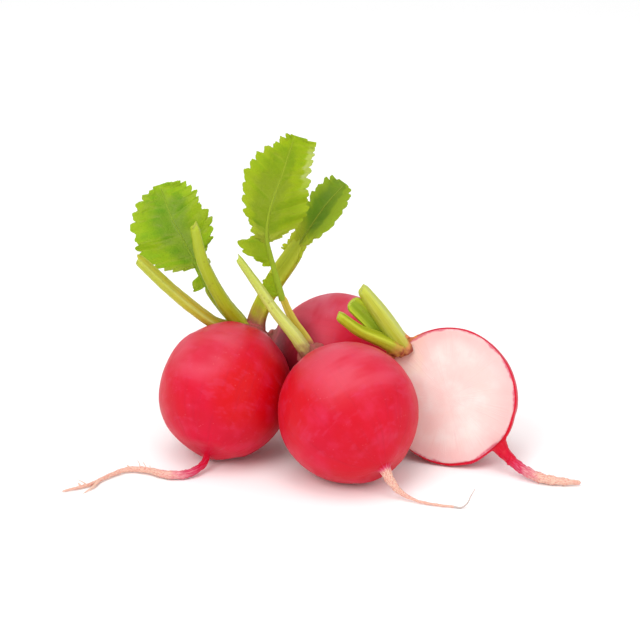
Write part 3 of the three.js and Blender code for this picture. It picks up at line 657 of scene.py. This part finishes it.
def root_radius(root, s, tail_length):
    """The root's radius at a distance from its globe's middle, towards the tail."""
    share = clamp(s / (root["crown_half"] if s < 0 else root["tail_half"]), -1, 1)
    globe = root["radius"] * sqrt(1 - share * share) * (1 - root["egg"] * share)
    past = s - root["tail_half"]
    foot = root["flare"] * exp(-max(past + 1, 0) / FLARE_LENGTH)
    tail = eased(share, 0, 0.9) * (along(root["tail_radii"], past / tail_length) + foot)
    tip = root["tail_radii"][-1] + 0.01
    tail *= sqrt(1 - clamp((past - tail_length + tip) / tip) ** 2)
    rise = clamp((-s - root["crown_half"]) / root["crown_height"])
    crown = root["crown_radius"] * sqrt(1 - rise**3) * eased(-share, 0.5, 0.9)
    return (hypot(globe, tail) ** 3 + crown**3) ** (1 / 3)


def centre_of(root):
    """The globe's middle, at the height where its underside dips just below the table."""
    depth = 0
    for i in range(-45, 46):
        share = i / 50
        s = share * (root["crown_half"] if share < 0 else root["tail_half"])
        tailwards = -Vector(root["crown"]) if share < 0 else Vector(root["tail_way"])
        tailwards.normalize()
        across = hypot(tailwards.x, tailwards.y)
        depth = max(depth, root_radius(root, s, 1) * across - s * tailwards.z)
    return Vector((root["x"], root["y"], depth - RESTING_SINK))


def root_course(root):
    centre = centre_of(root)
    crown = Vector(root["crown"]).normalized()
    tail_way = Vector(root["tail_way"]).normalized()
    return Course([
        centre + crown * (root["crown_half"] + root["crown_height"]),
        centre + crown * (root["crown_half"] / 2),
        centre,
        centre + tail_way * (root["tail_half"] - 3),
        centre + tail_way * root["tail_half"],
        *root["tail"],
    ])


def turned(profile):
    """A closed shape turned about +Z from pairs of radius and height."""
    bm = bmesh.new()
    verts = [bm.verts.new((radius, 0, height)) for radius, height in profile]
    edges = [bm.edges.new(pair) for pair in zip(verts, verts[1:])]
    bmesh.ops.spin(bm, geom=verts + edges, cent=(0, 0, 0), axis=(0, 0, 1), dvec=(0, 0, 0),
                   angle=2 * pi, steps=ROOT_SIDES, use_merge=True)
    bmesh.ops.remove_doubles(bm, verts=bm.verts, dist=0.002)
    bmesh.ops.recalc_face_normals(bm, faces=bm.faces)
    return bm


def laid_along(bm, course):
    """Bends a shape that stands along +Z so that it follows a line from its start."""
    for v in bm.verts:
        point, _, up, across = course.place(v.co.z)
        v.co = point - across * v.co.x + up * v.co.y


def globe_heights(root, first, last):
    for i in range(GLOBE_RINGS):
        share = -cos(mix(first, pi - last, i / (GLOBE_RINGS - 1)))
        yield share * (root["crown_half"] if share < 0 else root["tail_half"])


def root_shape(root, seed):
    """A whole root, with its colour values, from the knobbly crown to the tip of the tail."""
    course = root_course(root)
    top = -root["crown_half"] - root["crown_height"]
    tail_length = course.length + top - root["tail_half"]
    heights = [top + share * root["crown_height"] for share in NECK_RINGS]
    heights += globe_heights(root, 0.2, 0.09)
    cut_end = root["crown_half"] + CUT_MARGIN
    heights += [-cut_end, cut_end]
    for i in range(TAIL_RINGS):
        share = (i / (TAIL_RINGS - 1)) ** 1.1
        heights.append(root["tail_half"] + 0.5 + (tail_length - 0.52) * share)
    profile = [(root_radius(root, s, tail_length), s - top) for s in sorted(heights)]
    bm = turned([(0, 0), *profile, (0, course.length)])
    paleness, collar, station, painted_shadow, tan, painted_highlight, ruddy_and_shade = (value_layer(bm, k) for k in (
        "paleness", "collar", "station", "painted_shadow", "tan", "painted_highlight", "ruddy_and_shade"))
    way = way_layer(bm)
    fade_start, fade_end = root["fades"]
    for v in bm.verts:
        s = v.co.z + top
        turn = atan2(v.co.y, v.co.x)
        past = s - root["tail_half"]
        v[station] = s
        v[paleness] = eased(past, fade_start, fade_end) * eased(s, 0, root["tail_half"] - 3)
        uneven = 0.4 * sin(3 * turn + seed) + 0.3 * sin(7 * turn)
        v[collar] = eased(-s, root["crown_half"] - root["collar"] + uneven,
                          root["crown_half"] - 0.3 * root["collar"])
        v[way] = (cos(turn), sin(turn), s / 10)
        lobes = 0.16 * cos(5 * turn + seed) * eased(-s, root["crown_half"] - 5, root["crown_half"])
        pinch = 0.07 * sin(s * 2.1 + 3 * cos(turn)) + 0.05 * waver(s * 1.3)
        pinch += 0.09 * noise.noise(Vector((s * 1.7, cos(turn), sin(turn) + seed)))
        pinch *= eased(past, 0.5, 4)
        radius = hypot(v.co.x, v.co.y)
        if radius > 0.1:
            grown = 1 + lobes * min(1, 2 / radius) + pinch
            v.co.x *= grown
            v.co.y *= grown
    laid_along(bm, course)
    bm.normal_update()
    for v in bm.verts:
        on_globe = eased(root["tail_half"] - v[station], 0, 3)
        # The painted highlight and the deeper red painted shade, by how nearly the skin faces each
        # given way.
        for layer, places in ((painted_highlight, root["painted_highlight"]), (ruddy_and_shade, root["ruddy_and_shade"])):
            for way_out, least, most, strength in places:
                facing = v.normal.dot(Vector(way_out).normalized())
                v[layer] = max(v[layer], strength * eased(facing, least, most) * on_globe)
        # The painted shadow darkens the side that faces the way given.
        if root["painted_shadow"]:
            v[painted_shadow] = eased(v.normal.dot(Vector(root["painted_shadow"]).normalized()), 0.78, 0.97)
        v[tan] = root["tan"]
        thick = eased(root["tail_half"] - v[station], -3, 4)
        swell = 0.22 * noise.noise(v.co / 11 + Vector((seed, 3, 0)))
        swell += 0.06 * noise.noise(v.co / 3.2 + Vector((0, seed, 5)))
        swell = swell * thick + 0.03 * noise.noise(v.co / 0.9)
        knobs = 0.35 * abs(noise.noise(v.co / 1.3)) * eased(v[collar], 0.5, 1)
        v.co += v.normal * (swell + knobs)
        v.co.z = max(v.co.z, 0)
    return bm


def cut_half(root, bm):
    """Takes off the front half of the globe, and leaves the crown and the tail whole."""
    centre = centre_of(root)
    reach = root["crown_half"] + CUT_MARGIN
    station = value_layer(bm, "station")

    def in_globe(face):
        return all(abs(v[station]) < reach + 0.01 for v in face.verts)

    faces = [f for f in bm.faces if in_globe(f)]
    edges = dict.fromkeys(e for f in faces for e in f.edges)
    verts = dict.fromkeys(v for f in faces for v in f.verts)
    bmesh.ops.bisect_plane(bm, geom=[*faces, *edges, *verts], dist=1e-5, plane_co=centre,
                           plane_no=HALF_FACE)
    lost = [f for f in bm.faces
            if in_globe(f) and (f.calc_center_median() - centre).dot(HALF_FACE) > 1e-4]
    bmesh.ops.delete(bm, geom=lost, context="FACES")
    open_edges = [e for e in bm.edges if e.is_boundary]

    def on_plane(edge):
        return all(abs((v.co - centre).dot(HALF_FACE)) < 2e-3 for v in edge.verts)

    flat = [e for e in open_edges if on_plane(e)]
    steps = [e for e in open_edges if not on_plane(e)]
    step_verts = {v for e in steps for v in e.verts}
    flat_verts = dict.fromkeys(v for e in flat for v in e.verts)
    corners = sorted((v for v in flat_verts if v in step_verts), key=lambda v: v[station])
    for pair, sign in ((corners[:2], -1), (corners[-2:], 1)):
        bridge = bm.edges.new(pair)
        flat.append(bridge)
        arc = [e for e in steps if e.verts[0][station] * sign > 0]
        bmesh.ops.contextual_create(bm, geom=[*arc, bridge])
    bmesh.ops.contextual_create(bm, geom=flat)
    bmesh.ops.recalc_face_normals(bm, faces=bm.faces)


def flesh_shape(root):
    """The pale inside of the cut globe, with its face closed by rings that rise very slightly."""
    course = root_course(root)
    centre = centre_of(root)
    top = -root["crown_half"] - root["crown_height"]
    # The globe alone, without the foot of the tail and the neck.
    bare = {**root, "tail_radii": [0, 0], "flare": 0, "crown_radius": 0}
    shrunk = 1 - SKIN_DEPTH / root["radius"]
    profile = [(root_radius(bare, s, 1) * shrunk, s * shrunk - top)
               for s in globe_heights(root, 0.06, 0.06)]
    pole = shrunk * root["crown_half"]
    bm = turned([(0, -pole - top), *profile, (0, shrunk * root["tail_half"] - top)])
    laid_along(bm, course)
    proud = centre + HALF_FACE * FLESH_PROUD
    bmesh.ops.bisect_plane(bm, geom=[*bm.faces, *bm.edges, *bm.verts], dist=1e-5, plane_co=proud,
                           plane_no=HALF_FACE, clear_outer=True)
    inward, creaminess = value_layer(bm, "inward"), value_layer(bm, "creaminess")
    way = way_layer(bm)
    loop = [e for e in bm.edges if e.is_boundary]
    scale = 1.0
    for share in FACE_RINGS:
        made = bmesh.ops.extrude_edge_only(bm, edges=loop)["geom"]
        ring = [g for g in made if isinstance(g, bmesh.types.BMVert)]
        for v in ring:
            flat = v.co - proud
            flat -= HALF_FACE * flat.dot(HALF_FACE)
            flat *= share / scale
            rise = 0.1 * eased(1 - share, 0, 0.03) + 0.3 * eased(1 - share, 0, 0.9)
            v.co = proud + flat + HALF_FACE * rise
            v[inward] = (1 - share) * root["radius"]
        loop = [g for g in made if isinstance(g, bmesh.types.BMEdge) and g.is_boundary]
        scale = share
    made = bmesh.ops.extrude_edge_only(bm, edges=loop)["geom"]
    ring = [g for g in made if isinstance(g, bmesh.types.BMVert)]
    bmesh.ops.pointmerge(bm, verts=ring, merge_co=proud + HALF_FACE * 0.4)
    crown = Vector(root["crown"]).normalized()
    sideways = crown.cross(HALF_FACE).normalized()
    bm.normal_update()
    for v in bm.verts:
        out = v.co - centre
        v[creaminess] = eased(out.dot(crown) - 0.5 * abs(out.dot(sideways)), 6, 17)
        turn = atan2(out.dot(sideways), out.dot(crown))
        v[way] = (cos(turn), sin(turn), out.length / 10)
        if v[inward] > 0.3:
            v.co += HALF_FACE * 0.05 * noise.noise(v.co / 2.5)
    bmesh.ops.recalc_face_normals(bm, faces=bm.faces)
    return bm


def tube(sides, steps):
    """A closed tube of unit radius and length, ready to be laid along a line."""
    bm = bmesh.new()
    bmesh.ops.create_cone(bm, cap_ends=True, segments=sides, radius1=1, radius2=1, depth=1)
    long_edges = [e for e in bm.edges if abs(e.verts[0].co.z - e.verts[1].co.z) > 0.5]
    bmesh.ops.subdivide_edges(bm, edges=long_edges, cuts=steps, use_grid_fill=True)
    return bm


def hair(points, radii, paleness_value):
    """A thin root hair, round and pointed, along a line of points."""
    course = Course(points)
    bm = tube(HAIR_SIDES, HAIR_STEPS)
    pale = value_layer(bm, "paleness")
    for v in bm.verts:
        share = v.co.z + 0.5
        point, _, up, across = course.place(share * course.length)
        radius = along(radii, share)
        v.co = point - across * v.co.x * radius + up * v.co.y * radius
        v[pale] = paleness_value
    return bm


def joined(shapes):
    """Several closed shapes as one."""
    whole = bmesh.new()
    for bm in shapes:
        mesh = bpy.data.meshes.new("part")
        bm.to_mesh(mesh)
        bm.free()
        whole.from_mesh(mesh)
        bpy.data.meshes.remove(mesh)
    return whole


# Rootlets on the left tail: how far along the tail each starts, in mm from the globe's end, which
# way it points, its length and its radius at the foot.
ROOTLETS = [
    (18.2, (0.05, 0.3, 0.95), 1.4, 0.18),
    (19.2, (-0.25, 0.2, 0.93), 2.3, 0.16),
    (20.9, (-0.1, 0.3, 0.95), 2.5, 0.16),
    (23.2, (-0.6, 0.1, 0.8), 1.5, 0.32),
    (31.4, (-0.3, -0.9, -0.1), 1.3, 0.45),
    (33.4, (-0.28, -0.96, -0.03), 6.6, 0.46),
    (37.0, (-0.8, 0.5, 0.5), 2.6, 0.2),
    (38.6, (-0.4, 0.7, 0.5), 1.5, 0.36),
    (11.2, (0.0, 0.3, 0.9), 0.9, 0.22),
    (5.4, (-0.6, 0.2, 0.75), 1.1, 0.26),
]

# The dried hair that ends the front tail: the points that it passes, and its radii.
DRY_HAIR = [(24.4, -17.8, 0.42), (26.6, -18.4, 0.4), (28.0, -17.6, 1.2), (28.8, -16.4, 2.4),
            (29.9, -15.4, 3.9)]
DRY_HAIR_RADII = [0.24, 0.2, 0.17, 0.14, 0.07]


def rootlets_shape():
    root = ROOTS["left"]
    course = root_course(root)
    foot = root["crown_half"] + root["crown_height"] + root["tail_half"]
    hairs = []
    for start, way, length, radius in ROOTLETS:
        point, ahead, _, _ = course.place(foot + start)
        way = Vector(way).normalized()
        middle = point + way * length * 0.55 + ahead * 0.2
        end = point + way * length + Vector((-0.2 * length, 0, -0.1 * length))
        end.z = max(end.z, 0.15)
        middle.z = max(middle.z, 0.2)
        hairs.append(hair([point, middle, end], [radius, 0.7 * radius, 0.06], 0.95))
    return joined(hairs)


# Stalks


def stalk_shape(stalk, seed):
    """A ribbed stalk with a groove down its face and, at its end, the trimmed cut."""
    course = Course(stalk["path"], stalk["faces"])
    bm = tube(STALK_SIDES, STALK_STEPS)
    trimmed = value_layer(bm, "trimmed")
    caps = [f for f in bm.faces if len(f.verts) > 4]
    bmesh.ops.inset_individual(bm, faces=caps, thickness=0.14)
    for f in caps:
        for v in f.verts:
            v[trimmed] = 1
    bmesh.ops.inset_individual(bm, faces=caps, thickness=0.4)
    rise, stripe, groove = (value_layer(bm, k) for k in ("rise", "stripe", "groove"))
    way = way_layer(bm)
    for v in bm.verts:
        share = v.co.z + 0.5
        distance = share * course.length
        x, y = v.co.x, v.co.y
        turn = atan2(x, y)
        half = along(stalk["half_widths"], share)
        half *= 1 + 0.22 * exp(-distance / 1.8)
        half *= 1 + 0.03 * noise.noise(Vector((distance / 5, seed, 0)))
        left_over = clamp(1 - (course.length - distance) / TRIM_ROUNDING)
        half *= sqrt(1 - 0.6 * left_over**2)
        ridges = 1 + 0.022 * cos(9 * turn + 0.6 * sin(distance / 6 + seed))
        sunk = eased(y, 0.4, 1) * stalk.get("sunk", GROOVE) * half
        point, ahead, up, across = course.place(distance)
        v.co = point - across * x * half * ridges + up * (y * half * STALK_FLATNESS * ridges - sunk)
        if share > 0.99:
            v.co += ahead * (stalk.get("slant", 0) * y - 0.22 * v[trimmed])
        v[rise] = distance
        v[stripe] = exp(-(((y - 0.58) / 0.3) ** 2)) + 0.5 * exp(-(((y + 0.5) / 0.2) ** 2))
        v[groove] = eased(y, 0.62, 0.95)
        v[way] = (sin(turn), cos(turn), distance / 10)
    roughened(bm, 0.05, 1.6, seed)
    for v in bm.verts:
        v.co += v.normal * 0.34 * noise.noise(v.co / 0.9) * exp(-max(v[rise] - 1, 0) / 1.6)
    return bm


# Leaves


def tooth_at(share, teeth, side):
    """How far the edge stands out, from 0 in a notch to 1 at a tooth's point, small teeth added."""
    place = share * teeth
    number = min(floor(place), teeth - 1)
    within = place - number
    rise = within / 0.6 if within < 0.6 else (1 - within) / 0.4
    rise = 0.35 * rise + 0.65 * (1 - (1 - rise) ** 2.3)
    small = place * 2.4 + side
    small_within = small - floor(small)
    return rise * (0.7 + 0.3 * waver(number + teeth + side)) + 0.22 * (sin(pi * small_within) - 0.5)


def blade_rows(leaf, length):
    """The rows of a blade, from foot to tip: where each leaves the rib, how far forward and out its
    ends lie, and how strongly a vein runs along it on each side."""
    rows = []
    for part in leaf["parts"]:
        start, end = part["from"] * length, part["to"] * length
        steps = part["teeth"] * STEPS_PER_TOOTH
        for i in range(steps + 1):
            share = i / steps
            bulge = sin(pi * share)
            forward = (1 - cos(pi * share)) / 2
            row = {"rib": mix(start, end, forward**1.5), "share": share,
                   "main": part is leaf["parts"][-1]}
            for side, key in ((0, "left"), (0.35, "right")):
                tooth = tooth_at(share, part["teeth"], side) - 0.45
                tooth *= leaf["tooth_depth"] * min(1, bulge * 6)
                width = along(part.get(key, [0, 0]), share)
                reach = max(width + tooth * min(1, width / 2.4), 0.6)
                veins = part.get("veins", 2)
                step = share * veins - 0.6 + side
                gap = bulge * (end - start) / veins
                apart = abs(step - round(step)) * gap
                between = abs(step - 0.5 - round(step - 0.5)) * gap
                row[key] = reach
                slide = 0.3 * bulge - (0.6 if share > 0.5 else 0.3) * cos(pi * share)
                lean = part.get("lean", 0) * bulge
                row[f"{key}_edge"] = mix(start, end, forward) + lean + tooth * slide
                row[f"{key}_vein"] = exp(-((apart / 0.3) ** 2))
                row[f"{key}_small"] = exp(-((between / 0.2) ** 2))
            rows.append(row)
    return rows


def blade_shape(leaf, seed):
    course = Course(leaf["rib"], leaf["faces"])
    rows = blade_rows(leaf, course.length)
    bm = bmesh.new()
    bmesh.ops.create_grid(bm, x_segments=BLADE_COLUMNS, y_segments=len(rows) - 1, size=1)
    vein, outward, pale, painted_shade, foot = (
        value_layer(bm, k) for k in ("vein", "out", "pale_side", "painted_shade", "foot"))
    pale_out, pale_from, pale_to = leaf["pale_side"]
    shade_left, shade_right, shade_from, shade_to = leaf["painted_shade"]
    last = leaf["parts"][-1]
    for v in bm.verts:
        column = v.co.x
        number = round((v.co.y + 1) / 2 * (len(rows) - 1))
        row = rows[number]
        side = "left" if column < 0 else "right"
        reach, out = row[side], abs(column)
        point, ahead, up, across = course.place(row["rib"])
        y = column * reach
        strength = row[f"{side}_vein"] * (1 - 0.5 * out)
        strength = max(strength, 0.5 * row[f"{side}_small"] * eased(out, 0.3, 0.5) * (1.1 - out))
        wide = min(1, reach / 4)
        wave = leaf["ripple"] * waver(number * leaf["ripple_step"] + (3 if column < 0 else 0))
        wave *= out * out * wide
        puff = 0.2 * wide * (0.4 + noise.noise(Vector((number / 16, column * 2.4, seed))))
        puff -= 0.1 * strength
        height = leaf["cup"] * y * y / 9 + wave + puff * eased(out, 0.02, 0.3)
        rib = exp(-((y / 0.42) ** 2))
        v.co = point + ahead * (row[f"{side}_edge"] - row["rib"]) * out + across * y + up * height
        v[vein] = max(rib * (1 - 0.6 * row["share"]), 0.45 * strength * eased(reach, 1.2, 3))
        v[outward] = out * eased(reach, 0.9, 2.5)
        near = eased(row["share"], pale_from, pale_from + 0.15)
        near *= eased(row["share"], pale_to, pale_to - 0.15)
        v[pale] = eased(column, pale_out - 0.06, pale_out + 0.06) * near
        share = row["rib"] / course.length
        # Painted shade, strongest in the middle of the blade.
        v[painted_shade] = (eased(column, shade_left - 0.35, shade_left + 0.2)
                   * eased(column, shade_right + 0.3, shade_right - 0.2)
                   * eased(share, shade_from - 0.2, shade_from + 0.1)
                   * eased(share, shade_to + 0.15, shade_to - 0.15))
        if row["main"]:
            v[foot] = eased(share, last["from"] + leaf["foot"], last["from"])
    bmesh.ops.solidify(bm, geom=bm.faces[:], thickness=BLADE_THICKNESS)
    bmesh.ops.recalc_face_normals(bm, faces=bm.faces)
    return bm


def rib_shape(leaf):
    """The leaf's rib, which runs on from its stalk and thins towards the tip."""
    course = Course(leaf["rib"], leaf["faces"])
    bm = tube(RIB_SIDES, RIB_STEPS)
    vein = value_layer(bm, "vein")
    for v in bm.verts:
        share = v.co.z + 0.5
        distance = mix(-0.6, 0.96 * course.length, share)
        point, _, up, across = course.place(distance)
        half = mix(leaf["rib_half"], 0.12, eased(share, -0.2, 0.85))
        v.co = point - across * v.co.x * half + up * (v.co.y * half * RIB_FLATNESS + 0.05)
        v[vein] = 1
    return bm


def build():
    skin, flesh = skin_finish(), flesh_finish()
    for i, (name, root) in enumerate(ROOTS.items()):
        bm = root_shape(root, i * 7.3)
        if name == "half":
            cut_half(root, bm)
        finished(f"{name}_radish_skin", bm, skin, f"{name}_radish")
    finished("half_radish_flesh", flesh_shape(ROOTS["half"]), flesh, "half_radish")
    finished("front_tail_hair", hair(DRY_HAIR, DRY_HAIR_RADII, 1.0), dry_finish(),
             "front_radish")
    finished("left_tail_rootlets", rootlets_shape(), skin, "left_radish")
    for i, (name, stalk) in enumerate(STALKS.items()):
        shape = stalk_shape(stalk, i * 3.1)
        finished(f"{name}_ribbed", shape, stalk_finish(name, stalk), name)
    for i, (name, leaf) in enumerate(LEAVES.items()):
        shape = joined([blade_shape(leaf, i * 5.7), rib_shape(leaf)])
        finished(f"{name}_blade", shape, leaf_finish(name, leaf), name)


def floor_and_light():
    bm = bmesh.new()
    bmesh.ops.create_grid(bm, x_segments=1, y_segments=1, size=3)
    mesh = bpy.data.meshes.new("table_top")
    bm.to_mesh(mesh)
    bm.free()
    floor = bpy.data.objects.new("table_top", mesh)
    bpy.context.collection.objects.link(floor)
    material, n, shader = new_finish("pale_table", 0.7, 0.2, 0.0, (1, 1, 1))
    colour = n.mixed(n.noise(2.0), tone(253, 253, 253, 1), tone(255, 255, 255, 1))
    connect(n, shader, Base_Color=colour)
    mesh.materials.append(material)

    world = bpy.data.worlds.new("soft_room")
    world.use_nodes = True
    background = world.node_tree.nodes["Background"]
    background.inputs["Color"].default_value = (1, 1, 1, 1)
    background.inputs["Strength"].default_value = ROOM_LIGHT
    bpy.context.scene.world = world
    for name, place, size, power in LIGHTS:
        light = bpy.data.lights.new(name, "AREA")
        light.size = size
        light.energy = power
        lamp = bpy.data.objects.new(name, light)
        lamp.location = place
        aim = Vector((0, 0, 0.03)) - Vector(place)
        lamp.rotation_euler = aim.to_track_quat("-Z", "Y").to_euler()
        bpy.context.collection.objects.link(lamp)


def camera():
    data = bpy.data.cameras.new("camera")
    data.lens = LENS
    data.sensor_width = SENSOR
    data.clip_end = 20
    made = bpy.data.objects.new("camera", data)
    made.location = Vector(CAMERA_PLACE) * MM
    made.rotation_euler = (radians(90 - CAMERA_DIP), 0, 0)
    bpy.context.collection.objects.link(made)
    bpy.context.scene.camera = made


camera()
build()
floor_and_light()
bpy.context.scene.view_settings.view_transform = "Standard"
